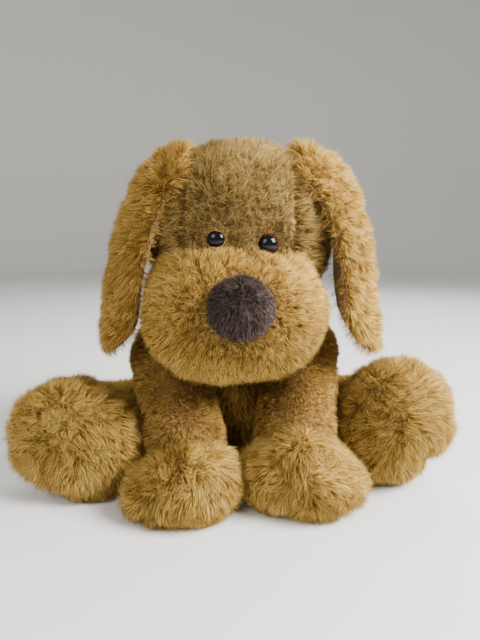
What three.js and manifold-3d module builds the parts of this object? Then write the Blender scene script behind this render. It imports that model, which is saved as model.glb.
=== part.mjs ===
// Sitting plush dog with drooping ears, a round muzzle bag, a stuffed nose and four stuffed legs.
// Millimetres, +Z up. The dog faces -Y and sits on the plane Z = 0. Its left side is at -X here,
// so "left" and "right" in the names are as seen by someone facing the dog.
// Every cushion is a fabric cover sewn from panels around its own stuffing.

import * as THREE from "three";
import { mergeVertices } from "three/addons/utils/BufferGeometryUtils.js";
import Module from "manifold-3d";

const wasm = await Module();
wasm.setup();

// ---------------------------------------------------------------- driving dimensions

const COVER = 2.4; // fabric backing with its pressed-down pile
const LINING = 1.6; // smooth ear lining
const GAP = 0.3; // clearance between pieces that touch
const JOINT_GAP = 1.3; // clearance where a limb turns in its seat

const HEAD = { at: [0, -22, 180], radii: [58, 56, 57], squareness: 2.3, detail: [18, 11] };
const MUZZLE = { at: [-4, -61, 129], radii: [55, 39, 39], squareness: 2.4, detail: [18, 11] };
const NOSE = { at: [0.5, -100, 137], radii: [17.5, 17.5, 16.5], squareness: 2, detail: [14, 8] };
const NECK_BALL = { at: [0, 0, 119], radii: [28, 28, 28], squareness: 2, detail: [16, 10] };

const GUSSET_HALF_WIDTH = 33; // centre panel that runs over the forehead
const MUZZLE_SEAM = { point: [0, -76, 167], normal: [0, 0.35, 1] }; // just under the eyes

const EYE_RADIUS = 6.2;
const EYE_HEIGHT = 5.4;
const EYE_SHANK_RADIUS = 1.6;
const EYE_SHANK_LENGTH = 13;
const WASHER_RADIUS = 8;
const WASHER_THICKNESS = 1.4;
const WASHER_DEPTH = 6.6; // from the head's surface down to the washer
const EYES = {
  left: { at: [-14.5, -76.4, 176.5], facing: [-0.2, -1, 0.04] },
  right: { at: [17.5, -75.9, 173.5], facing: [0.24, -1, 0.02] },
};

// Torso cross-sections from the seat up: height, middle in Y, half width and half depth.
const TORSO_RINGS = [
  { z: 0, y: 30, halfWidth: 48, halfDepth: 42 },
  { z: 8, y: 30, halfWidth: 58, halfDepth: 51 },
  { z: 30, y: 29, halfWidth: 63, halfDepth: 54 },
  { z: 55, y: 25, halfWidth: 60, halfDepth: 49 },
  { z: 80, y: 18, halfWidth: 54, halfDepth: 41 },
  { z: 100, y: 11, halfWidth: 45, halfDepth: 33 },
  { z: 114, y: 5, halfWidth: 34, halfDepth: 25 },
];
const SEAT_SEAM_HEIGHT = 7;
const BELLY_SEAM_Y = 8;

// The pouch of pellets that weighs the seat down.
const BEAN_RINGS = [
  { z: 3.4, y: 30, halfWidth: 36, halfDepth: 31 },
  { z: 10, y: 30, halfWidth: 40, halfDepth: 35 },
  { z: 19, y: 30, halfWidth: 36, halfDepth: 31 },
  { z: 24, y: 30, halfWidth: 22, halfDepth: 19 },
];

const FRONT_LEGS = {
  left: {
    leg: { from: [-56, -14, 92], to: [-38, -57, 36], fromRadius: 24, toRadius: 25.5 },
    flare: 0,
    end: { at: [-37, -74, 23], radii: [33, 30, 23], squareness: 2.3, detail: [14, 8] },
  },
  right: {
    leg: { from: [48, -11, 93], to: [38, -52, 38], fromRadius: 24, toRadius: 25.8 },
    flare: 0,
    end: { at: [43.5, -68, 24], radii: [33, 30, 24], squareness: 2.3, detail: [14, 8] },
  },
};
const PAW_SEAM_HEIGHT = 12; // between the top of the paw and its sole

const HIND_LEGS = {
  left: {
    leg: { from: [-71, 16, 32], to: [-106, -28, 36], fromRadius: 24, toRadius: 27 },
    flare: 9,
    end: { at: [-112, -50, 38], radii: [36.5, 28, 43.5], tilt: -62, squareness: 2.2, detail: [14, 8] },
  },
  right: {
    leg: { from: [71, 16, 32], to: [104, -20, 42], fromRadius: 24, toRadius: 27 },
    flare: 9,
    end: { at: [112, -37, 46], radii: [35, 27, 42], tilt: 30, squareness: 2.2, detail: [14, 8] },
  },
};

const TAIL = {
  leg: { from: [0, 89, 22], to: [0, 109, 47], fromRadius: 11, toRadius: 8 },
  flare: 9,
};

// Each ear is a sheet through three lines from the crown down to the tip: its front edge, the
// ridge down its middle and its back edge.
const EARS = {
  left: {
    front: [[-35, -60, 216], [-44, -63, 201], [-53, -66, 180], [-60, -66, 158], [-64, -65, 135],
      [-67, -62, 108]],
    ridge: [[-35, -46, 230], [-54, -44, 221], [-69, -42, 198], [-80, -40, 170], [-87, -40, 139],
      [-89, -42, 102]],
    back: [[-35, -30, 231], [-54, -24, 228], [-67, -17, 205], [-74, -14, 178], [-79, -12, 145],
      [-79, -16, 103]],
  },
  right: {
    front: [[37, -60, 214], [50, -62, 200], [58, -64, 183], [64, -64, 162], [67, -64, 138],
      [71, -60, 107]],
    ridge: [[40, -46, 229], [60, -44, 221], [74, -42, 198], [81, -40, 173], [85, -40, 142],
      [90, -42, 102]],
    back: [[36, -30, 230], [54, -23, 227], [65, -15, 205], [69, -10, 178], [71, -8, 145],
      [78, -14, 103]],
  },
};
const EAR_TIP_START = 0.85; // where the tip starts to round, as a share of the ear's length
const EAR_ROWS = 13;
const EAR_COLUMNS = 6;

const LIMB_SIDES = 12;

// ---------------------------------------------------------------- materials

function plush(color) {
  return new THREE.MeshStandardMaterial({ color, roughness: 0.95, metalness: 0 });
}

const tanPlush = plush(0xc39a5b);
const foreheadPlush = plush(0x94724a);
const legPlush = plush(0xa67c43);
const nosePlush = plush(0x4a3838);
const earLining = new THREE.MeshStandardMaterial({ color: 0x8a7a68, roughness: 0.8, metalness: 0 });
const stuffing = new THREE.MeshStandardMaterial({ color: 0xf2f0ea, roughness: 1, metalness: 0 });
const pouchCloth = new THREE.MeshStandardMaterial({ color: 0xd9d4c8, roughness: 0.9, metalness: 0 });
const glossBlack = new THREE.MeshStandardMaterial({ color: 0x0b0808, roughness: 0.08, metalness: 0 });
const washerWhite = new THREE.MeshStandardMaterial({ color: 0xe8e8e4, roughness: 0.5, metalness: 0 });

// ---------------------------------------------------------------- solids

function toSolid(geometry) {
  geometry.deleteAttribute("normal");
  geometry.deleteAttribute("uv");
  const merged = mergeVertices(geometry, 1e-4);
  return new wasm.Manifold(new wasm.Mesh({
    numProp: 3,
    vertProperties: new Float32Array(merged.attributes.position.array),
    triVerts: new Uint32Array(merged.index.array),
  }));
}

function toGeometry(solid) {
  const mesh = solid.getMesh();
  const geometry = new THREE.BufferGeometry();
  geometry.setAttribute("position", new THREE.BufferAttribute(mesh.vertProperties, 3));
  geometry.setIndex(new THREE.BufferAttribute(mesh.triVerts, 1));
  geometry.computeVertexNormals();
  return geometry;
}

// A cushion: an ellipsoid whose squareness above 2 fills its corners out. Tilt turns it about Y.
function cushion(shape, grow = 0) {
  const [sides, rows] = shape.detail;
  const ball = new THREE.SphereGeometry(1, sides, rows);
  const spots = ball.attributes.position;
  const spot = new THREE.Vector3();
  for (let i = 0; i < spots.count; i++) {
    spot.fromBufferAttribute(spots, i);
    const sum = [spot.x, spot.y, spot.z]
      .map((value) => Math.abs(value) ** shape.squareness)
      .reduce((total, value) => total + value);
    spot.multiplyScalar(sum ** (-1 / shape.squareness));
    spots.setXYZ(i, spot.x, spot.y, spot.z);
  }
  ball.scale(...shape.radii.map((radius) => radius + grow));
  ball.rotateY(THREE.MathUtils.degToRad(shape.tilt ?? 0));
  ball.translate(...shape.at);
  return toSolid(ball);
}

// A limb: two balls of different radii joined by a straight cone, as one turned profile.
function limb({ from, to, fromRadius, toRadius }, grow = 0) {
  const start = new THREE.Vector3(...from);
  const axis = new THREE.Vector3(...to).sub(start);
  const length = axis.length();
  const profile = [];
  const steps = 3;
  for (let i = 0; i <= steps; i++) {
    const angle = (Math.PI / 2) * (i / steps);
    const radius = fromRadius + grow;
    profile.push(new THREE.Vector2(radius * Math.sin(angle), -radius * Math.cos(angle)));
  }
  for (let i = 0; i <= steps; i++) {
    const angle = (Math.PI / 2) * (i / steps);
    const radius = toRadius + grow;
    profile.push(new THREE.Vector2(radius * Math.cos(angle), length + radius * Math.sin(angle)));
  }
  profile[0].x = 0;
  profile[profile.length - 1].x = 0;
  const turned = new THREE.LatheGeometry(profile, LIMB_SIDES);
  const up = new THREE.Vector3(0, 1, 0);
  turned.applyQuaternion(new THREE.Quaternion().setFromUnitVectors(up, axis.normalize()));
  turned.translate(...from);
  return toSolid(turned);
}

// A stack of oval rings, closed flat at both ends.
function stack(rings, sides, grow = 0) {
  const spots = [];
  const faces = [];
  const last = rings.length - 1;
  rings.forEach((ring, row) => {
    const endShift = row === 0 ? -grow : row === last ? grow : 0;
    for (let i = 0; i < sides; i++) {
      const angle = (2 * Math.PI * i) / sides;
      const x = (ring.halfWidth + grow) * Math.cos(angle);
      const y = ring.y + (ring.halfDepth + grow) * Math.sin(angle);
      spots.push(x, y, ring.z + endShift);
    }
  });
  for (let row = 0; row < last; row++) {
    for (let i = 0; i < sides; i++) {
      const a = row * sides + i;
      const b = row * sides + ((i + 1) % sides);
      faces.push(a, b, b + sides, a, b + sides, a + sides);
    }
  }
  const bottom = spots.length / 3;
  spots.push(0, rings[0].y, rings[0].z - grow);
  spots.push(0, rings[last].y, rings[last].z + grow);
  for (let i = 0; i < sides; i++) {
    const next = (i + 1) % sides;
    faces.push(bottom, next, i);
    faces.push(bottom + 1, last * sides + i, last * sides + next);
  }
  const geometry = new THREE.BufferGeometry();
  geometry.setAttribute("position", new THREE.Float32BufferAttribute(spots, 3));
  geometry.setIndex(faces);
  return toSolid(geometry);
}

// Everything on one side of a plane, half a gap away from it.
function sideOf(point, normal) {
  const size = 900;
  const block = new THREE.BoxGeometry(size, size, size);
  block.translate(0, 0, size / 2 + GAP / 2);
  const direction = new THREE.Vector3(...normal).normalize();
  const up = new THREE.Vector3(0, 0, 1);
  block.applyQuaternion(new THREE.Quaternion().setFromUnitVectors(up, direction));
  block.translate(...point);
  return toSolid(block);
}

function opposite(direction) {
  return direction.map((value) => -value);
}

const aboveTable = sideOf([0, 0, -GAP / 2], [0, 0, 1]);

// ---------------------------------------------------------------- the scene graph

const dog = new THREE.Group();

// A piece is the largest body of its solid: a cut can leave a sliver beside it.
function addPiece(name, solid, material) {
  const bodies = solid.decompose().sort((a, b) => b.volume() - a.volume());
  const mesh = new THREE.Mesh(toGeometry(bodies[0]), material);
  mesh.name = name;
  dog.add(mesh);
}

// A closed cover around a stuffing. The body function gives the cushion grown by any amount.
function coverOf(body) {
  return body(0).subtract(body(-COVER));
}

function stuffingOf(body) {
  return body(-COVER - GAP);
}

// ---------------------------------------------------------------- head

function headBody(grow) {
  return cushion(HEAD, grow)
    .add(cushion(MUZZLE, grow))
    .subtract(cushion(NECK_BALL, JOINT_GAP - grow))
    .subtract(cushion(NOSE, GAP - grow));
}

// A rod of the given radius on the eye's axis, from one depth to another below the surface.
function eyeRod(eye, radius, nearDepth, farDepth) {
  const rod = new THREE.CylinderGeometry(radius, radius, farDepth - nearDepth, 10);
  rod.translate(0, -(farDepth + nearDepth) / 2, 0);
  return placeOnEye(rod, eye);
}

function placeOnEye(geometry, eye) {
  const up = new THREE.Vector3(0, 1, 0);
  const facing = new THREE.Vector3(...eye.facing).normalize();
  geometry.applyQuaternion(new THREE.Quaternion().setFromUnitVectors(up, facing));
  geometry.translate(...eye.at);
  return toSolid(geometry);
}

// A moulded eye: a dome that sits on the fabric and a shank that goes through it.
function moulded(eye) {
  const profile = [new THREE.Vector2(0, -3), new THREE.Vector2(EYE_RADIUS * 0.9, -3)];
  for (let i = 0; i <= 4; i++) {
    const angle = (Math.PI / 2) * (i / 4);
    profile.push(new THREE.Vector2(EYE_RADIUS * Math.cos(angle), EYE_HEIGHT * Math.sin(angle)));
  }
  profile[profile.length - 1].x = 0;
  const dome = placeOnEye(new THREE.LatheGeometry(profile, 16), eye);
  return dome
    .subtract(headBody(GAP))
    .add(eyeRod(eye, EYE_SHANK_RADIUS, -2, EYE_SHANK_LENGTH));
}

function addHead() {
  let cover = coverOf(headBody);
  let filling = stuffingOf(headBody);
  for (const [side, eye] of Object.entries(EYES)) {
    cover = cover.subtract(eyeRod(eye, EYE_SHANK_RADIUS + GAP, -6, EYE_SHANK_LENGTH + 1));
    const socketDepth = EYE_SHANK_LENGTH + 1;
    filling = filling.subtract(eyeRod(eye, WASHER_RADIUS + GAP, -6, socketDepth));
    addPiece(`eye_${side}`, moulded(eye), glossBlack);
    const washer = eyeRod(eye, WASHER_RADIUS, WASHER_DEPTH, WASHER_DEPTH + WASHER_THICKNESS)
      .subtract(eyeRod(eye, EYE_SHANK_RADIUS + GAP, 0, EYE_SHANK_LENGTH + 2));
    addPiece(`eye_washer_${side}`, washer, washerWhite);
  }
  addPiece("head_stuffing", filling, stuffing);

  const upper = cover.intersect(sideOf(MUZZLE_SEAM.point, MUZZLE_SEAM.normal));
  const lower = cover.intersect(sideOf(MUZZLE_SEAM.point, opposite(MUZZLE_SEAM.normal)));
  const gusset = upper
    .intersect(sideOf([-GUSSET_HALF_WIDTH, 0, 0], [1, 0, 0]))
    .intersect(sideOf([GUSSET_HALF_WIDTH, 0, 0], [-1, 0, 0]));
  addPiece("forehead_gusset", gusset, foreheadPlush);
  addPiece("head_side_left", upper.intersect(sideOf([-GUSSET_HALF_WIDTH, 0, 0], [-1, 0, 0])), tanPlush);
  addPiece("head_side_right", upper.intersect(sideOf([GUSSET_HALF_WIDTH, 0, 0], [1, 0, 0])), tanPlush);
  addPiece("muzzle_left", lower.intersect(sideOf([0.5, 0, 0], [-1, 0, 0])), tanPlush);
  addPiece("muzzle_right", lower.intersect(sideOf([0.5, 0, 0], [1, 0, 0])), tanPlush);
}

// The nose is a little stuffed cup, open at the back where it is sewn to the muzzle.
function addNose() {
  const backPlane = sideOf([0, NOSE.at[1] + 9, 0], [0, -1, 0]);
  const cup = cushion(NOSE, 0).subtract(cushion(NOSE, -COVER)).intersect(backPlane);
  addPiece("nose_cover", cup, nosePlush);
  const filling = cushion(NOSE, -COVER - GAP).intersect(backPlane);
  addPiece("nose_stuffing", filling, stuffing);
}

// ---------------------------------------------------------------- ears

// The spot on an ear's surface, along from 0 at the root to 1 at the tip and sideways from -1 at
// the front edge to 1 at the back edge.
function earSpot(lines, along, sideways) {
  const reach = THREE.MathUtils.clamp(along, 0, 1);
  const [front, ridge, back] = lines.map((line) => line.getPointAt(reach));
  return new THREE.Vector3()
    .addScaledVector(front, (sideways * (sideways - 1)) / 2)
    .addScaledVector(ridge, 1 - sideways * sideways)
    .addScaledVector(back, (sideways * (sideways + 1)) / 2);
}

// A curved sheet between two distances outward from the ear's surface, with a rounded tip.
function earSheet(ear, side, inner, outer) {
  const lines = [ear.front, ear.ridge, ear.back].map(
    (points) => new THREE.CatmullRomCurve3(points.map((point) => new THREE.Vector3(...point))),
  );
  const outward = side === "left" ? -1 : 1;
  const step = 0.01;
  const skins = [[], []];
  for (let row = 0; row <= EAR_ROWS; row++) {
    const along = row / EAR_ROWS;
    const tip = Math.max(0, (along - EAR_TIP_START) / (1.02 - EAR_TIP_START));
    for (let column = 0; column <= EAR_COLUMNS; column++) {
      const sideways = ((2 * column) / EAR_COLUMNS - 1) * Math.sqrt(1 - tip * tip);
      const spot = earSpot(lines, along, sideways);
      const down = earSpot(lines, along + step, sideways).sub(earSpot(lines, along - step, sideways));
      const across = earSpot(lines, along, sideways + step).sub(spot);
      const facing = down.cross(across).normalize().multiplyScalar(outward);
      [inner, outer].forEach((distance, skin) => {
        skins[skin].push(spot.clone().addScaledVector(facing, distance));
      });
    }
  }
  return closedSheet(skins, EAR_ROWS + 1, EAR_COLUMNS + 1, outward);
}

// Joins two matching grids of points into one closed body.
function closedSheet(skins, rows, columns, outward) {
  const spots = skins.flat().flatMap((spot) => [spot.x, spot.y, spot.z]);
  const count = rows * columns;
  const faces = [];
  const quad = (a, b, c, d) => faces.push(a, b, c, a, c, d);
  for (let row = 0; row + 1 < rows; row++) {
    for (let column = 0; column + 1 < columns; column++) {
      const a = row * columns + column;
      const b = a + columns;
      quad(a, b, b + 1, a + 1);
      quad(count + a, count + a + 1, count + b + 1, count + b);
    }
  }
  for (let column = 0; column + 1 < columns; column++) {
    const end = (rows - 1) * columns + column;
    quad(column, column + 1, count + column + 1, count + column);
    quad(end, count + end, count + end + 1, end + 1);
  }
  for (let row = 0; row + 1 < rows; row++) {
    const a = row * columns;
    const b = a + columns - 1;
    quad(a, count + a, count + a + columns, a + columns);
    quad(b, b + columns, count + b + columns, count + b);
  }
  const geometry = new THREE.BufferGeometry();
  geometry.setAttribute("position", new THREE.Float32BufferAttribute(spots, 3));
  geometry.setIndex(outward < 0 ? faces : faces.reverse());
  return toSolid(geometry);
}

function addEar(side) {
  const ear = EARS[side];
  addPiece(`ear_lining_${side}`, earSheet(ear, side, 0, LINING), earLining);
  addPiece(`ear_front_${side}`, earSheet(ear, side, LINING + GAP, LINING + GAP + COVER), tanPlush);
}

// ---------------------------------------------------------------- legs, torso and tail

// The leg runs into the cushion at its end, a paw or a foot, and stops at that cushion's surface.
function legBody({ leg, end }) {
  return (grow) => limb(leg, grow)
    .subtract(cushion(end, GAP + Math.max(0, -grow - COVER)))
    .intersect(aboveTable);
}

function endBody({ end }) {
  return (grow) => cushion(end, grow).intersect(sideOf([0, 0, -grow - GAP / 2], [0, 0, 1]));
}

function addFrontLeg(side) {
  const parts = FRONT_LEGS[side];
  const body = legBody(parts);
  const cover = coverOf(body);
  const { from, to } = parts.leg;
  const seam = [0, from[2] - to[2], to[1] - from[1]];
  addPiece(`front_leg_${side}_front`, cover.intersect(sideOf(from, opposite(seam))), legPlush);
  addPiece(`front_leg_${side}_back`, cover.intersect(sideOf(from, seam)), legPlush);
  addPiece(`front_leg_${side}_stuffing`, stuffingOf(body), stuffing);
  addEnd(parts, `front_paw_${side}`, [0, 0, PAW_SEAM_HEIGHT], [0, 0, 1]);
}

function addHindLeg(side) {
  const parts = HIND_LEGS[side];
  const body = legBody(parts);
  const cover = coverOf(body);
  addPiece(`hind_leg_${side}_top`, cover.intersect(sideOf(parts.leg.from, [0, 0, 1])), tanPlush);
  addPiece(`hind_leg_${side}_under`, cover.intersect(sideOf(parts.leg.from, [0, 0, -1])), tanPlush);
  addPiece(`hind_leg_${side}_stuffing`, stuffingOf(body), stuffing);
  addEnd(parts, `hind_foot_${side}`, parts.end.at, [0, 1, 0]);
}

// A paw or foot: an upper and a sole around their own stuffing.
function addEnd(parts, name, seamPoint, seamNormal) {
  const body = endBody(parts);
  const cover = coverOf(body);
  addPiece(`${name}_upper`, cover.intersect(sideOf(seamPoint, seamNormal)), tanPlush);
  addPiece(`${name}_sole`, cover.intersect(sideOf(seamPoint, opposite(seamNormal))), tanPlush);
  addPiece(`${name}_stuffing`, stuffingOf(body), stuffing);
}

// The torso has a seat for the ball end of each limb, flared where the limb needs room to swing.
function torsoBody(grow) {
  let body = stack(TORSO_RINGS, 18, grow).add(cushion(NECK_BALL, grow));
  for (const { leg, flare } of [...Object.values(FRONT_LEGS), ...Object.values(HIND_LEGS), TAIL]) {
    const seat = { ...leg, toRadius: leg.toRadius + flare };
    body = body.subtract(limb(seat, JOINT_GAP - grow));
  }
  return body;
}

function addTorso() {
  const cover = coverOf(torsoBody);
  const wall = cover.intersect(sideOf([0, 0, SEAT_SEAM_HEIGHT], [0, 0, 1]));
  const back = wall.intersect(sideOf([0, BELLY_SEAM_Y, 0], [0, 1, 0]));
  addPiece("body_front", wall.intersect(sideOf([0, BELLY_SEAM_Y, 0], [0, -1, 0])), tanPlush);
  addPiece("body_back_left", back.intersect(sideOf([0, 0, 0], [-1, 0, 0])), tanPlush);
  addPiece("body_back_right", back.intersect(sideOf([0, 0, 0], [1, 0, 0])), tanPlush);
  addPiece("seat_panel", cover.intersect(sideOf([0, 0, SEAT_SEAM_HEIGHT], [0, 0, -1])), tanPlush);

  const beans = stack(BEAN_RINGS, 16);
  const pouchRoom = BEAN_RINGS.map((ring, row) => (row === 0 ? { ...ring, z: -5 } : ring));
  addPiece("bean_pouch", beans, pouchCloth);
  addPiece("body_stuffing", stuffingOf(torsoBody).subtract(stack(pouchRoom, 16, GAP)), stuffing);
}

function addTail() {
  const body = (grow) => limb(TAIL.leg, grow);
  const cover = coverOf(body);
  addPiece("tail_cover_left", cover.intersect(sideOf([0, 0, 0], [-1, 0, 0])), tanPlush);
  addPiece("tail_cover_right", cover.intersect(sideOf([0, 0, 0], [1, 0, 0])), tanPlush);
  addPiece("tail_stuffing", stuffingOf(body), stuffing);
}

addHead();
addNose();
addTorso();
addTail();
for (const side of ["left", "right"]) {
  addEar(side);
  addFrontLeg(side);
  addHindLeg(side);
}

export default dog;
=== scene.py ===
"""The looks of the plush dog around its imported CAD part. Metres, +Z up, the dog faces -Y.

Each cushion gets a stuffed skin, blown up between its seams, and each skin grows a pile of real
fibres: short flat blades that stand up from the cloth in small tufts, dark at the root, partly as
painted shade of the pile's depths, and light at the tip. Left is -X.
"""

import itertools
import math

import bmesh
import bpy
import numpy as np
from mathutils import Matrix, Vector
from mathutils.bvhtree import BVHTree


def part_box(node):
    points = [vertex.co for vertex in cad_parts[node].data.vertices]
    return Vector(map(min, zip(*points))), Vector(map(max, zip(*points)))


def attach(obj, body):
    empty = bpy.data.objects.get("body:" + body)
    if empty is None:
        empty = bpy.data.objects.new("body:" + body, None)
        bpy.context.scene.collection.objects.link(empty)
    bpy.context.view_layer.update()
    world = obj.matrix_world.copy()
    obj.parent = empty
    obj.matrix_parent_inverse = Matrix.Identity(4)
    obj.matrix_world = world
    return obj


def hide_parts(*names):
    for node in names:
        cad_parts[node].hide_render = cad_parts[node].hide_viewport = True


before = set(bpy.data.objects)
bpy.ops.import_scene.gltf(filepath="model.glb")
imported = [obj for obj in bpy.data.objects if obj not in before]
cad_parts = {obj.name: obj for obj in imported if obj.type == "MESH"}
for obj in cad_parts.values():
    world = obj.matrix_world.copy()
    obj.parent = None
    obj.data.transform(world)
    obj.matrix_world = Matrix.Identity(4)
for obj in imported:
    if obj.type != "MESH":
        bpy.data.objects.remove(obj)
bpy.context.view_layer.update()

SIDES = (("left", -1), ("right", 1))
FLOOR_CLEARANCE = 0.0003

SKIN_DETAIL = 5  # how often the sphere that a skin starts from is divided
FAR_OUTSIDE = 0.5  # rays towards a cushion start this far from its middle
LUMP_SIZE = 0.022  # how far apart the lumps of uneven stuffing are

SEAM_WIDTH = 0.006  # a seam's pull fades out over this distance
HELD_RADIUS = 0.009  # an eye holds the cloth fast this far round it
SIMULATED_FRAMES = 20
CLOTH_SLACK = 0.08  # how much longer the cloth is than the form it covers
CLOTH_MASS = 0.0002
CLOTH_STIFFNESS = 5
CLOTH_PRESSURE = 40

FIBRE_SHARE = 1.0  # part of the fibres grown
MIDDLE_WIDTH = 0.75  # of a fibre's width at its root, halfway up
SHORTEST, LONGEST = 0.72, 1.08  # how far single fibres differ from the pile's length
ROOT_LEAN = 0.45  # the share of its lean that a fibre's lower half has
TIP_LEAN = 1.5
ROOT_PULL = 0.35  # the share of a tuft's pull that a fibre's lower half follows
UNDERSIDE_HEIGHT = 0.0012  # lower than this, skin that faces down grows no pile
PATCH_SIZE = 0.03  # the size of the lighter and darker patches of a pile

# ------------------------------------------------------------------ small mathematics


def unit(vectors):
    """Each row scaled to length one."""
    return vectors / np.maximum(np.linalg.norm(vectors, axis=1, keepdims=True), 1e-12)


def along_surface(vectors, normals):
    """The part of each vector that lies in the surface with these normals."""
    return vectors - normals * np.sum(vectors * normals, axis=1, keepdims=True)


def soft_noise(points, size, seed):
    """Smooth noise, mostly from -1 to 1, whose lumps are about size metres across."""
    generator = np.random.default_rng(seed)
    total = np.zeros(len(points))
    for _ in range(9):
        direction = generator.normal(size=3)
        direction *= generator.uniform(0.6, 1.5) * math.pi / size / np.linalg.norm(direction)
        total += np.sin(points @ direction + generator.uniform(0, 2 * math.pi))
    return total / 4


def soft_vectors(points, size, seed):
    """A smooth field of vectors about one long."""
    return np.stack([soft_noise(points, size, seed + axis) for axis in range(3)], axis=1)


def scatter(cells, seed):
    """Three numbers from 0 to 1 for each whole-number cell, always the same for the same cell."""
    mixed = cells @ np.array([12.9898, 78.233, 37.719]) + seed
    return np.stack([np.modf(np.sin(mixed + k) * 43758.5453)[0] for k in range(3)], axis=1) % 1.0


def nearest_tuft(points, size, seed):
    """For each point, the way to the nearest scattered tuft centre, and that tuft's own numbers."""
    cells = np.floor(points / size)
    best = np.full(len(points), np.inf)
    way = np.zeros_like(points)
    character = np.zeros_like(points)
    for shift in itertools.product((-1, 0, 1), repeat=3):
        cell = cells + np.array(shift)
        centre = (cell + scatter(cell, seed)) * size
        gap = centre - points
        distance = np.sum(gap * gap, axis=1)
        nearer = distance < best
        best[nearer] = distance[nearer]
        way[nearer] = gap[nearer]
        character[nearer] = scatter(cell[nearer], seed + 51)
    return way, character


# ------------------------------------------------------------------ skins


def node_faces(nodes):
    """The corners and triangles of CAD nodes together."""
    corners, triangles = [], []
    for name in nodes:
        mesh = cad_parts[name].data
        mesh.calc_loop_triangles()
        first = len(corners)
        corners += [vertex.co.copy() for vertex in mesh.vertices]
        triangles += [tuple(first + i for i in tri.vertices) for tri in mesh.loop_triangles]
    return corners, triangles


def box_middle(nodes):
    """The middle of the box around CAD nodes."""
    boxes = [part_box(name) for name in nodes]
    low = Vector(min(box[0][axis] for box in boxes) for axis in range(3))
    high = Vector(max(box[1][axis] for box in boxes) for axis in range(3))
    return (low + high) / 2


def new_object(name, mesh):
    """A mesh, light or camera put into the scene."""
    made = bpy.data.objects.new(name, mesh)
    bpy.context.scene.collection.objects.link(made)
    return made


def stuffed_skin(name, nodes, rounding, lumps, shape=None, detail=SKIN_DETAIL):
    """A closed, plump skin over the CAD nodes, reached outwards from their middle.

    Hollows between two bulges fill out by rounding, lumps is the height of the uneven stuffing, and
    shape moves the points to where the cushion has settled.
    """
    corners, triangles = node_faces(nodes)
    tree = BVHTree.FromPolygons(corners, triangles)
    middle = box_middle(nodes)
    form = bmesh.new()
    bmesh.ops.create_icosphere(form, subdivisions=detail, radius=1)
    mesh = bpy.data.meshes.new(name)
    form.to_mesh(mesh)
    form.free()
    directions = np.array([vertex.co for vertex in mesh.vertices])
    reach = np.zeros(len(directions))
    for i, direction in enumerate(directions):
        outward = Vector(direction)
        hit = tree.ray_cast(middle + outward * FAR_OUTSIDE, -outward)
        reach[i] = (hit[0] - middle).length if hit[0] else 0.0
    edges = np.array([edge.vertices for edge in mesh.edges])
    for _ in range(rounding):
        reach = np.maximum(reach, neighbour_mean(reach, edges))
    for _ in range(2):
        reach = neighbour_mean(reach, edges)
    places = np.array(middle) + directions * reach[:, None]
    reach += lumps * soft_noise(places, LUMP_SIZE, len(nodes))
    places = np.array(middle) + directions * reach[:, None]
    if shape is not None:
        places = shape(places)
    places[:, 2] = np.maximum(places[:, 2], FLOOR_CLEARANCE)
    mesh.vertices.foreach_set("co", places.ravel())
    mesh.shade_smooth()
    mesh.update()
    return new_object(name, mesh)


def seam_distances(points, cover):
    """How far each point on a cover lies from its nearest seam: the distance to the second panel."""
    panels = [BVHTree.FromPolygons(*node_faces([name])) for name in cover]
    distances = np.empty((len(points), len(panels)))
    for i, point in enumerate(points):
        distances[i] = [panel.find_nearest(Vector(point))[3] for panel in panels]
    return np.sort(distances, axis=1)[:, 1]


def plump(skin, cover, reach, held=()):
    """Blows a skin up a little between the seams of its cover with a short cloth simulation.

    Seams and the cloth round each held place stay where they are, and no point moves further than
    reach.
    """
    mesh = skin.data
    start = np.array([vertex.co for vertex in mesh.vertices])
    firm = np.clip(1 - seam_distances(start, cover) / SEAM_WIDTH, 0, 1)
    for place in held:
        distance = np.linalg.norm(start - place, axis=1)
        firm = np.maximum(firm, np.clip(2 - distance / HELD_RADIUS, 0, 1))
    seams = skin.vertex_groups.new(name="seams")
    for i in np.nonzero(firm > 0)[0]:
        seams.add([int(i)], float(firm[i]), "REPLACE")
    cloth = skin.modifiers.new("plump", "CLOTH")
    cloth.point_cache.frame_end = SIMULATED_FRAMES
    cloth.settings.mass = CLOTH_MASS
    cloth.settings.tension_stiffness = CLOTH_STIFFNESS
    cloth.settings.compression_stiffness = CLOTH_STIFFNESS
    cloth.settings.shrink_min = -CLOTH_SLACK
    cloth.settings.use_pressure = True
    cloth.settings.uniform_pressure_force = CLOTH_PRESSURE
    cloth.settings.vertex_group_mass = seams.name
    cloth.settings.effector_weights.gravity = 0
    for number in range(1, SIMULATED_FRAMES + 1):
        bpy.context.scene.frame_set(number)
    blown = skin.evaluated_get(bpy.context.evaluated_depsgraph_get()).to_mesh()
    moved = np.array([vertex.co for vertex in blown.vertices]) - start
    skin.modifiers.remove(cloth)
    skin.vertex_groups.remove(seams)
    bpy.context.scene.frame_set(1)
    distance = np.linalg.norm(moved, axis=1, keepdims=True)
    places = start + moved * np.minimum(1, reach / np.maximum(distance, 1e-9))
    places[:, 2] = np.maximum(places[:, 2], FLOOR_CLEARANCE)
    mesh.vertices.foreach_set("co", places.ravel())
    mesh.update()


def neighbour_mean(values, edges):
    """Each value averaged with those of the points one edge away."""
    total = values.copy()
    count = np.ones(len(values))
    for a, b in ((0, 1), (1, 0)):
        np.add.at(total, edges[:, a], values[edges[:, b]])
        np.add.at(count, edges[:, a], 1)
    return total / count


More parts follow.
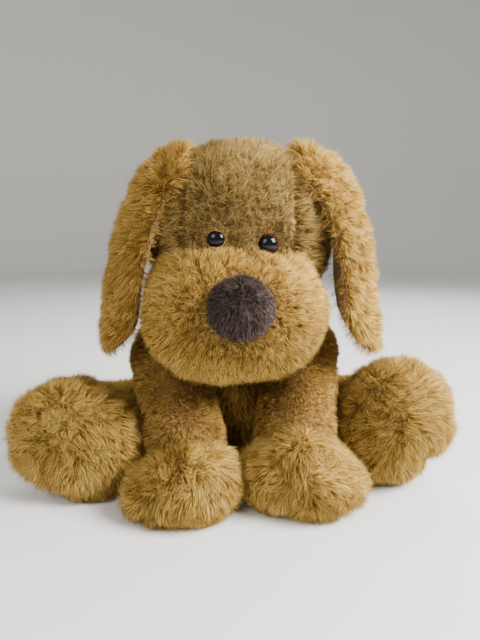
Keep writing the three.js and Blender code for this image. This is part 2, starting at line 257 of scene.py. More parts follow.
def smooth_copy(name, node, levels):
    """A copy of a CAD node with its facets smoothed out."""
    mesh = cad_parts[node].data.copy()
    mesh.name = name
    mesh.materials.clear()
    form = bmesh.new()
    form.from_mesh(mesh)
    bmesh.ops.remove_doubles(form, verts=form.verts, dist=1e-5)
    form.to_mesh(mesh)
    form.free()
    made = new_object(name, mesh)
    rounder = made.modifiers.new("rounding", "SUBSURF")
    rounder.levels = levels
    rounder.render_levels = levels
    bpy.context.view_layer.objects.active = made
    bpy.ops.object.modifier_apply(modifier=rounder.name)
    made.data.shade_smooth()
    keep_size(made, node)
    return made


def keep_size(piece, node):
    """Grows a smoothed piece back to the box of its CAD node."""
    low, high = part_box(node)
    places = np.array([vertex.co for vertex in piece.data.vertices])
    share = (places - places.min(axis=0)) / np.ptp(places, axis=0)
    places = np.array(low) + share * (np.array(high) - np.array(low))
    piece.data.vertices.foreach_set("co", places.ravel())
    piece.data.update()


# ------------------------------------------------------------------ pile


def sample_skin(skin, count, seed):
    """Points spread evenly over a skin, with the skin's smooth normals there."""
    mesh = skin.data
    mesh.calc_loop_triangles()
    triangles = np.array([tri.vertices for tri in mesh.loop_triangles])
    places = np.array([vertex.co for vertex in mesh.vertices])
    normals = np.array([vertex.normal for vertex in mesh.vertices])
    a, b, c = (places[triangles[:, k]] for k in range(3))
    areas = np.linalg.norm(np.cross(b - a, c - a), axis=1)
    generator = np.random.default_rng(seed)
    chosen = generator.choice(len(triangles), size=count, p=areas / areas.sum())
    first = np.sqrt(generator.uniform(size=(count, 1)))
    second = generator.uniform(size=(count, 1))
    shares = (1 - first, first * (1 - second), first * second)
    corners = triangles[chosen]
    points = sum(share * places[corners[:, k]] for k, share in enumerate(shares))
    facing = sum(share * normals[corners[:, k]] for k, share in enumerate(shares))
    return points, unit(facing)


def skin_area(skin):
    """The whole surface of a skin, in square metres."""
    return sum(polygon.area for polygon in skin.data.polygons)


def grow_pile(name, skin, look, comb, seed, keep=None, trim=None):
    """Grows a pile on the part of a skin that keep picks, leaning the way comb says.

    Trim gives how much of the full length is left at each root. The fibres gather into small
    tufts, and these into wider locks.
    """
    count = int(skin_area(skin) * 1e6 * look["density"] * FIBRE_SHARE)
    roots, normals = sample_skin(skin, count, seed)
    kept = ~((roots[:, 2] < UNDERSIDE_HEIGHT) & (normals[:, 2] < -0.4))
    if keep is not None:
        kept &= keep(roots, normals)
    roots, normals = roots[kept], normals[kept]
    generator = np.random.default_rng(seed + 100)
    count = len(roots)

    flow = along_surface(comb(roots, normals), normals)
    flow /= np.maximum(np.linalg.norm(flow, axis=1, keepdims=True), 1)
    sway = along_surface(soft_vectors(roots, look["swirl_size"], seed + 7), normals)
    way, character = nearest_tuft(roots, look["tuft_size"], seed)
    lock_way, lock_character = nearest_tuft(roots, look["lock_size"], seed + 13)
    pull = along_surface(way, normals) * look["tuft_pull"]
    pull += along_surface(lock_way, normals) * look["lock_pull"]
    tuft_lean = along_surface(character * 2 - 1, normals) * look["tuft_lean"]
    tuft_lean += along_surface(lock_character * 2 - 1, normals) * look["lock_lean"]
    stray = generator.normal(size=(count, 3)) * look["stray"]
    lean = flow * look["lean"] + sway * look["swirl"] + tuft_lean + stray
    uneven = 0.3 * (character[:, :1] - 0.5) + 0.4 * (lock_character[:, :1] - 0.5)
    length = look["length"] * (1 + uneven)
    length = length * generator.uniform(SHORTEST, LONGEST, size=(count, 1))
    if trim is not None:
        length = length * trim(roots)[:, None]

    low = unit(normals + lean * ROOT_LEAN)
    high = unit(normals + lean * TIP_LEAN)
    middles = roots + low * length * 0.5 + pull * ROOT_PULL
    tips = middles + high * length * 0.5 + pull * (1 - ROOT_PULL)
    for places in (roots, middles, tips):
        places[:, 2] = np.maximum(places[:, 2], FLOOR_CLEARANCE)
    sides = unit(np.cross(tips - roots, generator.normal(size=(count, 3))))
    shade = 0.5 + 0.35 * (character[:, 1] - 0.5) + 0.4 * (lock_character[:, 1] - 0.5)
    shade += 0.2 * soft_noise(roots, PATCH_SIZE, seed + 3)
    shade = np.clip(shade + generator.normal(size=count) * 0.15, 0.02, 0.98)
    return blades(name, roots, middles, tips, sides * look["width"] / 2, shade, normals)


def blades(name, roots, middles, tips, sides, shade, normals):
    """One mesh of flat tapering blades, each a quad and a triangle.

    Its map runs from root to tip across and by the blade's own shade upwards, so the pile's
    colours are a small palette that stays sharp.
    """
    count = len(roots)
    halfway = sides * MIDDLE_WIDTH
    corners = np.stack(
        [roots - sides, roots + sides, middles + halfway, middles - halfway, tips],
        axis=1,
    )
    first = np.arange(count)[:, None] * 5
    order = np.array([0, 1, 2, 3, 3, 2, 4])
    loops = (first + order).ravel()
    starts = (np.arange(count)[:, None] * 7 + np.array([0, 4])).ravel()

    mesh = bpy.data.meshes.new(name)
    mesh.vertices.add(count * 5)
    mesh.vertices.foreach_set("co", corners.ravel())
    mesh.loops.add(count * 7)
    mesh.loops.foreach_set("vertex_index", loops)
    mesh.polygons.add(count * 2)
    mesh.polygons.foreach_set("loop_start", starts)
    mesh.update(calc_edges=True)

    palette = mesh.uv_layers.new(name="OFBake")
    across = np.tile(np.array([0.02, 0.02, 0.5, 0.5, 0.5, 0.5, 0.98]), count)
    upwards = np.repeat(shade, 7)
    palette.data.foreach_set("uv", np.stack([across, upwards], axis=1).ravel())
    made = new_object(name, mesh)
    soften_normals(mesh, normals, unit(tips - roots))
    return made


def soften_normals(mesh, normals, directions):
    """Lights each blade like the cushion it stands on, turned a little towards its own side."""
    bent = unit(normals * 0.8 + along_surface(normals, directions) * 0.6)
    mesh.shade_smooth()
    mesh.normals_split_custom_set_from_vertices(np.repeat(bent, 5, axis=0))


# ------------------------------------------------------------------ materials


def new_material(name):
    """A material with the four things that every one of them is built from."""
    made = bpy.data.materials.new(name)
    made.use_nodes = True
    return made, made.node_tree.nodes, made.node_tree.links, made.node_tree.nodes["Principled BSDF"]


def colour_ramp(nodes, stops):
    """A ramp through stops, each a place from 0 to 1 and a colour."""
    ramp = nodes.new("ShaderNodeValToRGB")
    while len(ramp.color_ramp.elements) < len(stops):
        ramp.color_ramp.elements.new(0.5)
    for element, (place, colour) in zip(ramp.color_ramp.elements, stops):
        element.position = place
        element.color = (*colour, 1)
    return ramp


def pile_material(name, dark, light, translucency=0.25):
    """A pile whose fibres run from root to tip through one of two sets of colours, or between. Both
    sets darken towards the root, partly as painted shade deep in the pile.
    """
    made, nodes, links, shader = new_material(name)
    spot = nodes.new("ShaderNodeUVMap")
    spot.uv_map = "OFBake"
    split = nodes.new("ShaderNodeSeparateXYZ")
    links.new(spot.outputs["UV"], split.inputs["Vector"])
    mix = nodes.new("ShaderNodeMix")
    mix.data_type = "RGBA"
    links.new(split.outputs["Y"], mix.inputs["Factor"])
    for stops, socket in ((dark, "A"), (light, "B")):
        ramp = colour_ramp(nodes, stops)
        links.new(split.outputs["X"], ramp.inputs["Fac"])
        end = next(s for s in mix.inputs if s.name == socket and s.type == "RGBA")
        links.new(ramp.outputs["Color"], end)
    colour = next(s for s in mix.outputs if s.type == "RGBA")
    links.new(colour, shader.inputs["Base Color"])
    shader.inputs["Roughness"].default_value = 0.7
    shader.inputs["Specular IOR Level"].default_value = 0.14
    through = nodes.new("ShaderNodeBsdfTranslucent")
    links.new(colour, through.inputs["Color"])
    both = nodes.new("ShaderNodeMixShader")
    both.inputs["Fac"].default_value = translucency
    links.new(shader.outputs["BSDF"], both.inputs[1])
    links.new(through.outputs["BSDF"], both.inputs[2])
    output = nodes["Material Output"]
    links.new(both.outputs["Shader"], output.inputs["Surface"])
    return made


def cloth_material(name, colour, second, roughness, weave, relief):
    """A woven or knitted cloth: two close colours in a fine weave with a little relief."""
    made, nodes, links, shader = new_material(name)
    place = nodes.new("ShaderNodeTexCoord")
    threads = nodes.new("ShaderNodeTexVoronoi")
    threads.inputs["Scale"].default_value = weave
    links.new(place.outputs["Object"], threads.inputs["Vector"])
    patches = nodes.new("ShaderNodeTexNoise")
    patches.inputs["Scale"].default_value = 60
    patches.inputs["Detail"].default_value = 4
    links.new(place.outputs["Object"], patches.inputs["Vector"])
    total = nodes.new("ShaderNodeMath")
    total.operation = "MULTIPLY_ADD"
    links.new(threads.outputs["Distance"], total.inputs[0])
    total.inputs[1].default_value = 0.6
    links.new(patches.outputs["Fac"], total.inputs[2])
    ramp = colour_ramp(nodes, [(0.35, colour), (0.95, second)])
    links.new(total.outputs["Value"], ramp.inputs["Fac"])
    links.new(ramp.outputs["Color"], shader.inputs["Base Color"])
    shader.inputs["Roughness"].default_value = roughness
    bump = nodes.new("ShaderNodeBump")
    bump.inputs["Strength"].default_value = 0.5
    bump.inputs["Distance"].default_value = relief
    links.new(threads.outputs["Distance"], bump.inputs["Height"])
    links.new(bump.outputs["Normal"], shader.inputs["Normal"])
    return made


def plastic_material(name, colour, second, roughness, coat):
    """Moulded plastic with a faint cloudiness."""
    made, nodes, links, shader = new_material(name)
    place = nodes.new("ShaderNodeTexCoord")
    clouds = nodes.new("ShaderNodeTexNoise")
    clouds.inputs["Scale"].default_value = 400
    links.new(place.outputs["Object"], clouds.inputs["Vector"])
    ramp = colour_ramp(nodes, [(0.3, colour), (0.7, second)])
    links.new(clouds.outputs["Fac"], ramp.inputs["Fac"])
    links.new(ramp.outputs["Color"], shader.inputs["Base Color"])
    shader.inputs["Roughness"].default_value = roughness
    shader.inputs["Coat Weight"].default_value = coat
    shader.inputs["Coat Roughness"].default_value = 0.03
    return made


def dress(piece, material):
    """Gives a piece its only material."""
    piece.data.materials.clear()
    piece.data.materials.append(material)


# Every pile's root colours are dark partly as the cloth's own darker roots and partly as painted
# shade of the pile's depths.
TAN_PILE = pile_material(
    "tan_pile",
    dark=[(0.0, (0.10, 0.037, 0.004)), (0.45, (0.45, 0.22, 0.033)), (1.0, (0.80, 0.48, 0.11))],
    light=[(0.0, (0.25, 0.112, 0.014)), (0.45, (0.90, 0.53, 0.095)), (1.0, (1.0, 0.76, 0.24))],
)
# The forehead gusset's browner pile, darkened further as painted shade; the head's sides wear it
# too, as painted shade.
FOREHEAD_BROWN_AND_SHADED_PILE = pile_material(
    "forehead_brown_and_shaded_pile",
    dark=[(0.0, (0.06, 0.024, 0.003)), (0.45, (0.27, 0.145, 0.027)), (1.0, (0.52, 0.335, 0.10))],
    light=[(0.0, (0.145, 0.068, 0.010)), (0.45, (0.56, 0.345, 0.08)), (1.0, (0.80, 0.60, 0.245))],
)
# A copy of the tan pile with brighter light fibres, painted light on the lit tops of paws and feet,
# and darker roots, painted shade.
LIT_AND_SHADED_PAW_PILE = pile_material(
    "lit_and_shaded_paw_pile",
    dark=[(0.0, (0.07, 0.025, 0.003)), (0.45, (0.41, 0.20, 0.03)), (1.0, (0.80, 0.49, 0.11))],
    light=[(0.0, (0.25, 0.112, 0.014)), (0.45, (0.95, 0.585, 0.11)), (1.0, (1.0, 0.79, 0.28))],
)
# A darker copy of the tan pile for the front legs and the chest under the head: painted shade.
SHADED_TAN_PILE = pile_material(
    "shaded_tan_pile",
    dark=[(0.0, (0.09, 0.034, 0.004)), (0.45, (0.34, 0.155, 0.026)), (1.0, (0.63, 0.36, 0.08))],
    light=[(0.0, (0.18, 0.078, 0.011)), (0.45, (0.70, 0.39, 0.068)), (1.0, (0.97, 0.70, 0.235))],
)
NOSE_PILE = pile_material(
    "nose_pile",
    dark=[(0.0, (0.017, 0.010, 0.008)), (0.5, (0.045, 0.028, 0.021)), (1.0, (0.09, 0.058, 0.046))],
    light=[(0.0, (0.03, 0.019, 0.015)), (0.5, (0.12, 0.082, 0.067)), (1.0, (0.36, 0.27, 0.225))],
    translucency=0.15,
)
BACKING = cloth_material("backing", (0.20, 0.11, 0.035), (0.30, 0.17, 0.06), 0.95, 900, 0.0003)
NOSE_BACKING = cloth_material(
    "nose_backing", (0.02, 0.012, 0.012), (0.04, 0.025, 0.025), 0.95, 900, 0.0003
)
LINING = cloth_material("lining", (0.20, 0.13, 0.065), (0.29, 0.20, 0.105), 0.7, 1500, 0.0001)
POUCH = cloth_material("pouch", (0.55, 0.5, 0.42), (0.7, 0.66, 0.58), 0.9, 700, 0.0003)
WASHER = plastic_material("washer", (0.75, 0.75, 0.73), (0.8, 0.8, 0.78), 0.45, 0.0)

# ------------------------------------------------------------------ looks of the piles

BASE_LOOK = {
    "density": 4.4,  # fibres per square millimetre
    "length": 0.0078,
    "width": 0.00027,
    "lean": 0.5,
    "swirl": 0.25,
    "swirl_size": 0.025,
    "stray": 0.2,
    "tuft_size": 0.003,
    "tuft_lean": 0.25,
    "tuft_pull": 0.3,
    "lock_size": 0.008,
    "lock_lean": 0.3,
    "lock_pull": 0.1,
}
SHORT_LOOK = {
    **BASE_LOOK,
    "density": 5.5,
    "length": 0.0048,
    "width": 0.00024,
    "lean": 0.35,
    "tuft_size": 0.0022,
    "lock_lean": 0.2,
}
CURLY_LOOK = {
    **BASE_LOOK,
    "density": 5.5,
    "length": 0.0062,
    "width": 0.00025,
    "tuft_size": 0.0024,
    "tuft_lean": 0.6,
    "tuft_pull": 0.5,
    "lean": 0.1,
    "stray": 0.35,
}
EAR_LOOK = {**BASE_LOOK, "density": 5.0, "length": 0.0082, "lean": 0.6}
MUZZLE_LOOK = {
    **BASE_LOOK,
    "density": 5.5,
    "length": 0.0074,
    "width": 0.00025,
    "lean": 0.5,
    "tuft_size": 0.0024,
    "tuft_lean": 0.45,
    "tuft_pull": 0.4,
    "stray": 0.28,
}
SHAGGY_LOOK = {
    **BASE_LOOK,
    "density": 5.4,
    "length": 0.0094,
    "width": 0.00026,
    "lean": 0.85,
    "swirl": 0.5,
    "swirl_size": 0.02,
    "stray": 0.26,
    "tuft_size": 0.0026,
    "tuft_lean": 0.42,
    "tuft_pull": 0.32,
    "lock_size": 0.0075,
    "lock_lean": 0.55,
    "lock_pull": 0.14,
}
HIDDEN_LOOK = {**BASE_LOOK, "density": 2.5, "width": 0.0004}
NOSE_LOOK = {
    **BASE_LOOK,
    "density": 11.0,
    "length": 0.0042,
    "width": 0.0002,
    "lean": 0.9,
    "tuft_size": 0.0015,
    "tuft_pull": 0.25,
    "lock_size": 0.006,
    "lock_lean": 0.2,
}

# ------------------------------------------------------------------ head

HEAD_COVER = ["forehead_gusset", "head_side_left", "head_side_right", "muzzle_left", "muzzle_right"]
NOSE_MIDDLE = np.array(box_middle(["nose_cover"]))
GUSSET_HALF_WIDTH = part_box("forehead_gusset")[1].x
MUZZLE_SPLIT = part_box("muzzle_left")[1].x
SEAM_POINT = np.array((0.0, -0.076, 0.167))  # on the seam that joins the muzzle to the head
SEAM_NORMAL = np.array((0.0, 0.35, 1.0)) / math.hypot(0.35, 1.0)
EYES = {side: np.array(box_middle([f"eye_{side}"])) for side, sign in SIDES}
NOSE_OPENING = 0.015  # no pile grows this near to the middle of the nose
EYE_OPENING = 0.0058
EYE_RIM, EYE_CLIPPED = 0.006, 0.012  # where the clipped pile round an eye starts, and how wide it is
NOSE_RIM, NOSE_CLIPPED = 0.018, 0.014
PARTING_WIDTH = 0.0035
PARTING_TURN = 0.005  # beside a gusset seam the pile turns away from it over this distance
CROWN_HEIGHT = 0.02  # the pile reaches its full length this far above the crown's start
SPREAD_DISTANCE = 0.06  # this far from the nose the pile lies fully away from it
FACE_BACK = -0.05  # eyes and nose are in front of this
EYE_GROWTH = 1.14
PARTING_TOP = 0.21  # above it the crown's pile hides the gusset seams
CROWN_START = 0.205  # above it the pile gets longer


def above_seam(points):
    """True above the seam that joins the muzzle to the head."""
    return (points - SEAM_POINT) @ SEAM_NORMAL > 0


def clear_of_trim(points):
    """True where no eye or nose covers the cloth."""
    clear = np.linalg.norm((points - NOSE_MIDDLE)[:, [0, 2]], axis=1) > NOSE_OPENING
    for eye in EYES.values():
        clear &= np.linalg.norm((points - eye)[:, [0, 2]], axis=1) > EYE_OPENING
    return clear | (points[:, 1] > FACE_BACK)


def head_trim(points):
    """Short round the eyes and the nose, parted along the gusset seams and longer on the crown."""
    left = np.ones(len(points))
    for eye in EYES.values():
        distance = np.linalg.norm(points - eye, axis=1)
        left = np.minimum(left, 0.35 + 0.65 * np.clip((distance - EYE_RIM) / EYE_CLIPPED, 0, 1))
    distance = np.linalg.norm(points - NOSE_MIDDLE, axis=1)
    left = np.minimum(left, 0.55 + 0.45 * np.clip((distance - NOSE_RIM) / NOSE_CLIPPED, 0, 1))
    from_seam = np.abs(np.abs(points[:, 0]) - GUSSET_HALF_WIDTH)
    parting = above_seam(points) & (points[:, 2] < PARTING_TOP)
    near = 0.2 + 0.8 * np.clip(from_seam / PARTING_WIDTH, 0, 1)
    left = np.where(parting, np.minimum(left, near), left)
    return left + 0.45 * np.clip((points[:, 2] - CROWN_START) / CROWN_HEIGHT, 0, 1)


def from_nose(points, normals):
    """Away from the nose, and downwards."""
    away = points - NOSE_MIDDLE
    spread = np.clip(np.linalg.norm(away, axis=1, keepdims=True) / SPREAD_DISTANCE, 0, 1) ** 2
    return unit(away) * spread + np.array((0.0, 0.1, -0.3))


def from_gusset(points, normals):
    """Sideways from the gusset seam and down."""
    outward = np.sign(points[:, :1]) * np.array((0.5, 0.0, 0.0))
    return outward + np.array((0.0, 0.1, -0.6))


def backwards(points, normals):
    """From the brow over the crown to the nape, and away from the seams on either side."""
    inward = np.array((-1.0, 0.0, 0.0)) * np.sign(points[:, :1])
    from_seam = GUSSET_HALF_WIDTH - np.abs(points[:, :1])
    return np.array((0.0, 0.7, 0.2)) + inward * np.clip(1 - from_seam / PARTING_TURN, 0, 1)


def downwards(points, normals):
    """Straight down."""
    return np.tile((0.0, 0.0, -1.0), (len(points), 1))


def build_head():
    """One skin for the whole head, with a pile for each panel of its cover."""
    skin = stuffed_skin("head_skin", HEAD_COVER, 5, 0.0008)
    plump(skin, HEAD_COVER, 0.0015, held=EYES.values())
    dress(skin, BACKING)
    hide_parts(*HEAD_COVER, "head_stuffing")
    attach(skin, "head")

    def on_gusset(points, normals):
        middle = np.abs(points[:, 0]) < GUSSET_HALF_WIDTH
        return above_seam(points) & middle & clear_of_trim(points)

    def on_side(sign):
        def pick(points, normals):
            return above_seam(points) & (points[:, 0] * sign > GUSSET_HALF_WIDTH)
        return pick

    def on_muzzle(sign):
        def pick(points, normals):
            half = (points[:, 0] - MUZZLE_SPLIT) * sign > 0
            return ~above_seam(points) & half & clear_of_trim(points)
        return pick

    add_pile("forehead_brown_and_shaded_pile", skin, CURLY_LOOK, FOREHEAD_BROWN_AND_SHADED_PILE, "head",
             keep=on_gusset, comb=backwards, trim=head_trim, seed=11)
    for side, sign in SIDES:
        # The head's sides wear the darker forehead pile as painted shade.
        add_pile(f"head_side_{side}_pile", skin, BASE_LOOK, FOREHEAD_BROWN_AND_SHADED_PILE, "head",
                 keep=on_side(sign), comb=from_gusset, trim=head_trim, seed=12 + sign)
        add_pile(f"muzzle_{side}_pile", skin, MUZZLE_LOOK, TAN_PILE, "head",
                 keep=on_muzzle(sign), comb=from_nose, trim=head_trim, seed=15 + sign)


def add_pile(name, skin, look, material, body, comb, seed, keep=None, trim=None):
    """Grows a pile, dresses it and lets it ride on a body."""
    made = grow_pile(name, skin, look, comb, seed, keep=keep, trim=trim)
    dress(made, material)
    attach(made, body)


def build_nose():
    skin = stuffed_skin("nose_skin", ["nose_cover", "nose_stuffing"], 2, 0.0002)
    dress(skin, NOSE_BACKING)
    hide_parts("nose_cover", "nose_stuffing")
    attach(skin, "head")
    add_pile("nose_pile", skin, NOSE_LOOK, NOSE_PILE, "head",
             comb=downwards, seed=21)


def eye_material():
    """Gloss black with a red-brown rim that shows towards the outer edge."""
    made, nodes, links, shader = new_material("eye_gloss")
    place = nodes.new("ShaderNodeTexCoord")
    offset = nodes.new("ShaderNodeVectorMath")
    offset.operation = "LENGTH"
    links.new(place.outputs["UV"], offset.inputs[0])
    ramp = colour_ramp(nodes, [
        (0.0, (0.003, 0.003, 0.004)),
        (0.86, (0.003, 0.003, 0.004)),
        (0.95, (0.08, 0.016, 0.008)),
        (1.0, (0.04, 0.008, 0.005)),
    ])
    links.new(offset.outputs["Value"], ramp.inputs["Fac"])
    links.new(ramp.outputs["Color"], shader.inputs["Base Color"])
    shader.inputs["Roughness"].default_value = 0.07
    shader.inputs["Specular IOR Level"].default_value = 0.25
    return made


def swell_dome(dome, growth):
    """Grows the part of an eye that stands in front of the cloth, not its shank."""
    places = np.array([vertex.co for vertex in dome.data.vertices])
    front = places[:, 1].min()
    proud = np.clip((front + 0.012 - places[:, 1]) / 0.004, 0, 1)[:, None]
    centre = places[proud[:, 0] > 0.5].mean(axis=0)
    places += (places - centre) * (growth - 1) * proud
    dome.data.vertices.foreach_set("co", places.ravel())
    dome.data.update()


def build_eyes():
    """Smooth domes over the CAD eyes. The pupil sits towards the nose, so the rim shows outside."""
    gloss = eye_material()
    for side, sign in SIDES:
        dome = smooth_copy(f"eye_dome_{side}", f"eye_{side}", 2)
        low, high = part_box(f"eye_{side}")
        radius = (high.x - low.x) / 2
        pupil = Vector(((low.x + high.x) / 2 - sign * radius * 0.12, 0, (low.z + high.z) / 2))
        chart = dome.data.uv_layers.new(name="rim")
        for loop in dome.data.loops:
            spot = dome.data.vertices[loop.vertex_index].co
            chart.data[loop.index].uv = ((spot.x - pupil.x) / radius, (spot.z - pupil.z) / radius)
        swell_dome(dome, EYE_GROWTH)
        dress(dome, gloss)
        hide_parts(f"eye_{side}")
        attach(dome, "head")
        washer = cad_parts[f"eye_washer_{side}"]
        dress(washer, WASHER)


# ------------------------------------------------------------------ ears


EDGE_DEPTH = 0.0003  # on an edge, the lining is no deeper than this below the front
EAR_ROOT_FADE = 0.012  # the pile turns from the crown's way to the ear's over this distance


def build_ear(side, sign):
    """The plush front and the smooth lining of an ear, with pile on the front only."""
    front = smooth_copy(f"ear_front_skin_{side}", f"ear_front_{side}", 2)
    dress(front, BACKING)
    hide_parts(f"ear_front_{side}")
    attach(front, f"ear_{side}")
    lining = smooth_copy(f"ear_lining_skin_{side}", f"ear_lining_{side}", 2)
    dress(lining, LINING)
    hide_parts(f"ear_lining_{side}")
    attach(lining, f"ear_{side}")
    inner_tree = BVHTree.FromObject(lining, bpy.context.evaluated_depsgraph_get())

    def to_lining(points):
        """From each point the way to the nearest spot of the lining."""
        return np.array([inner_tree.find_nearest(Vector(point))[0] for point in points]) - points

    def on_outside(points, normals):
        """The outer face and the edges, not the face that lies on the lining."""
        return np.sum(to_lining(points) * normals, axis=1) < EDGE_DEPTH

    def near_root(points):
        """From 1 at the root, beside the gusset, to 0 where the ear hangs free."""
        return np.clip(1.5 - (np.abs(points[:, :1]) - GUSSET_HALF_WIDTH) / EAR_ROOT_FADE, 0, 1)

    def from_root(points, normals):
        """Down the ear, over the root seam at its top, and over the edges towards the lining."""
        inward = np.array((-2.2 * sign, -0.4, 0.3))
        down = np.array((0.0, 0.0, -1.0)) + unit(to_lining(points)) * 1.2
        return down * (1 - near_root(points)) + inward * near_root(points)

    def root_trim(points):
        return 1 + 0.25 * near_root(points)[:, 0]

    add_pile(f"ear_pile_{side}", front, EAR_LOOK, TAN_PILE, f"ear_{side}",
             keep=on_outside, comb=from_root, trim=root_trim, seed=31 + sign)


# ------------------------------------------------------------------ torso, tail and legs


def build_torso():
    cover = ["body_front", "body_back_left", "body_back_right", "seat_panel"]
    skin = stuffed_skin("body_skin", cover, 1, 0.001)
    plump(skin, cover, 0.0025)
    dress(skin, BACKING)
    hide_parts(*cover, "body_stuffing")
    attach(skin, "torso")
    belly_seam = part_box("body_front")[1].y

    def on_front(points, normals):
        return points[:, 1] < belly_seam

    def on_back(sign):
        def pick(points, normals):
            return (points[:, 1] >= belly_seam) & (points[:, 0] * sign > 0)
        return pick

    # The chest under the head wears the darker tan pile: painted shade.
    add_pile("body_front_pile", skin, BASE_LOOK, SHADED_TAN_PILE, "torso",
             keep=on_front, comb=downwards, seed=41)
    for side, sign in SIDES:
        add_pile(f"body_back_{side}_pile", skin, HIDDEN_LOOK, TAN_PILE, "torso",
                 keep=on_back(sign), comb=downwards, seed=42 + sign)
    dress(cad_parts["bean_pouch"], POUCH)


def build_tail():
    cover = ["tail_cover_left", "tail_cover_right"]
    skin = stuffed_skin("tail_skin", cover, 1, 0.0004, detail=4)
    plump(skin, cover, 0.001)
    dress(skin, BACKING)
    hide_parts(*cover, "tail_stuffing")
    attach(skin, "tail")

    def towards_tip(points, normals):
        return np.tile((0.0, 0.6, 0.8), (len(points), 1))

    add_pile("tail_pile", skin, BASE_LOOK, TAN_PILE, "tail",
             comb=towards_tip, seed=51)


def build_limb(body, parts, end, leg_look, leg_material, end_comb, end_shape, seed):
    """A leg and the paw or foot at its end. Both move as one body."""
    leg_cover = [f"{body}_{part}" for part in parts]
    leg = stuffed_skin(f"{body}_skin", leg_cover, 8, 0.0008)
    plump(leg, leg_cover, 0.0015)
    dress(leg, BACKING)
    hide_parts(*leg_cover, f"{body}_stuffing")
    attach(leg, body)
    add_pile(f"{body}_pile", leg, leg_look, leg_material, body, comb=downwards, seed=seed)

    end_cover = [f"{end}_upper", f"{end}_sole"]
    cushion = stuffed_skin(f"{end}_skin", end_cover, 1, 0.0018, end_shape)
    plump(cushion, end_cover, 0.0025)
    dress(cushion, BACKING)
    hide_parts(*end_cover, f"{end}_stuffing")
    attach(cushion, body)
    middle = np.array(box_middle(end_cover))

    def comb(points, normals):
        return end_comb(points - middle)

    # The paws and feet wear the brighter tan pile: painted light on their tops, painted shade at the
    # roots.
    add_pile(f"{end}_pile", cushion, SHAGGY_LOOK, LIT_AND_SHADED_PAW_PILE, body,
             comb=comb, seed=seed + 1)


PAW_HEIGHT = {"left": 0.9, "right": 1.0}  # share of its full height that each paw keeps
PAW_SPREAD = 0.4  # how much wider a paw is at its foot than at its top
PAW_SLOPE = 0.5  # how much of its height a paw loses towards its outer side
HEEL_TAPER = 0.4  # how much of its half width a foot loses at its heel


def paw_shape(side, sign):
    """A paw settles: it spreads at its foot, and gets lower towards its outer side."""

    def settle(places):
        low, high = places.min(axis=0), places.max(axis=0)
        middle, size = (low + high) / 2, high - low
        height = (places[:, 2:] - low[2]) / size[2]
        outward = (places[:, 0] - middle[0]) * sign / size[0]
        widening = 1 + PAW_SPREAD * (0.55 - height)
        places[:, :2] = middle[:2] + (places[:, :2] - middle[:2]) * widening
        places[:, 2] *= PAW_HEIGHT[side] * (1 - PAW_SLOPE * np.clip(outward + 0.05, 0, 0.55))
        return places

    return settle


def foot_shape(sign):
    """A foot narrows towards its heel on its outer side."""

    def narrow(places):
        low, high = places.min(axis=0), places.max(axis=0)
        middle, half = (low + high) / 2, (high - low) / 2
        outward = np.clip((places[:, 0] - middle[0]) * sign / half[0], 0, 1)
        lower = np.clip((middle[2] - places[:, 2]) / half[2], 0, 1)
        places[:, 0] -= sign * half[0] * HEEL_TAPER * outward * lower**2
        return places

    return narrow


def over_the_paw(offsets):
    """Forwards over the top of the paw, outwards and down its front."""
    return np.array((0.0, -0.7, -0.8)) + offsets * np.array((20.0, 0.0, 0.0))


def round_the_sole(offsets):
    """Down over the sole, spreading to both sides and whirling a little round its middle."""
    whirl = np.stack([offsets[:, 2], np.zeros(len(offsets)), -offsets[:, 0]], axis=1)
    return unit(offsets) * 0.45 + unit(whirl) * 0.5 + np.array((0.0, 0.3, -0.6))


# ------------------------------------------------------------------ stage


FLOOR_REACH = 2.6
WALL_BEND = 1.2
WALL_TOP = 3.0
BEND_STEPS = 16
STAGE_SIDES = 96
DOG_MIDDLE = Vector((0, -0.02, 0.1))


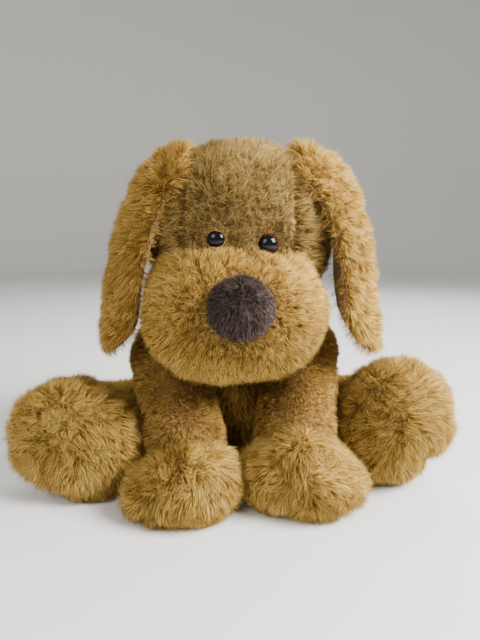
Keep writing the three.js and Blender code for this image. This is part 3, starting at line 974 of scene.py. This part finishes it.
def build_stage():
    """A pale round floor whose rim sweeps up into a wall on every side, and soft light."""
    profile = [(0.4, 0.0), (1.5, 0.0), (FLOOR_REACH, 0.0)]
    for i in range(1, BEND_STEPS + 1):
        angle = math.pi / 2 * i / BEND_STEPS
        outward = WALL_BEND * math.sin(angle)
        profile.append((FLOOR_REACH + outward, WALL_BEND * (1 - math.cos(angle))))
    profile.append((FLOOR_REACH + WALL_BEND, WALL_TOP))
    corners = [(0.0, 0.0, 0.0)]
    for radius, height in profile:
        for k in range(STAGE_SIDES):
            turn = 2 * math.pi * k / STAGE_SIDES
            corners.append((radius * math.cos(turn), radius * math.sin(turn), height))
    faces = [(0, 1 + k, 1 + (k + 1) % STAGE_SIDES) for k in range(STAGE_SIDES)]
    for ring in range(len(profile) - 1):
        first = 1 + ring * STAGE_SIDES
        second = first + STAGE_SIDES
        for k in range(STAGE_SIDES):
            following = (k + 1) % STAGE_SIDES
            faces.append((first + k, second + k, second + following, first + following))
    mesh = bpy.data.meshes.new("backdrop")
    mesh.from_pydata(corners, [], faces)
    mesh.shade_smooth()
    backdrop = new_object("backdrop", mesh)
    made, nodes, links, shader = new_material("backdrop")
    shader.inputs["Base Color"].default_value = (0.84, 0.83, 0.81, 1)
    shader.inputs["Roughness"].default_value = 0.7
    backdrop.data.materials.append(made)

    world = bpy.data.worlds.new("studio")
    bpy.context.scene.world = world
    world.use_nodes = True
    background = world.node_tree.nodes["Background"]
    background.inputs["Color"].default_value = (1.0, 0.98, 0.95, 1)
    background.inputs["Strength"].default_value = 0.35

    add_light("key", (0.85, -0.5, 0.8), 0.6, 51)
    add_light("back", (0.3, 1.0, 1.0), 1.0, 12)
    add_light("fill", (-0.7, -1.0, 0.9), 0.7, 11)


def add_light(name, place, size, power):
    """A square soft light aimed at the middle of the dog."""
    data = bpy.data.lights.new(name, "AREA")
    data.size = size
    data.energy = power
    light = new_object(name, data)
    light.location = place
    aim = DOG_MIDDLE - Vector(place)
    light.rotation_euler = aim.to_track_quat("-Z", "Y").to_euler()


def build_camera():
    """Close in front of the dog, a little above its nose and looking slightly down."""
    data = bpy.data.cameras.new("camera")
    data.lens = 27.06
    data.sensor_width = 36
    data.clip_start = 0.01
    camera = new_object("camera", data)
    camera.location = (0.0, -0.375, 0.174)
    camera.rotation_euler = (math.radians(81), 0, 0)
    bpy.context.scene.camera = camera


# ------------------------------------------------------------------ everything

build_head()
build_nose()
build_eyes()
for side, sign in SIDES:
    build_ear(side, sign)
    # The front legs under the head wear the darker tan pile: painted shade.
    build_limb(f"front_leg_{side}", ["front", "back"], f"front_paw_{side}",
               SHORT_LOOK, SHADED_TAN_PILE, over_the_paw, paw_shape(side, sign), 61 + 2 * sign)
    build_limb(f"hind_leg_{side}", ["top", "under"], f"hind_foot_{side}",
               BASE_LOOK, TAN_PILE, round_the_sole, foot_shape(sign), 71 + 2 * sign)
build_torso()
build_tail()
build_stage()
build_camera()
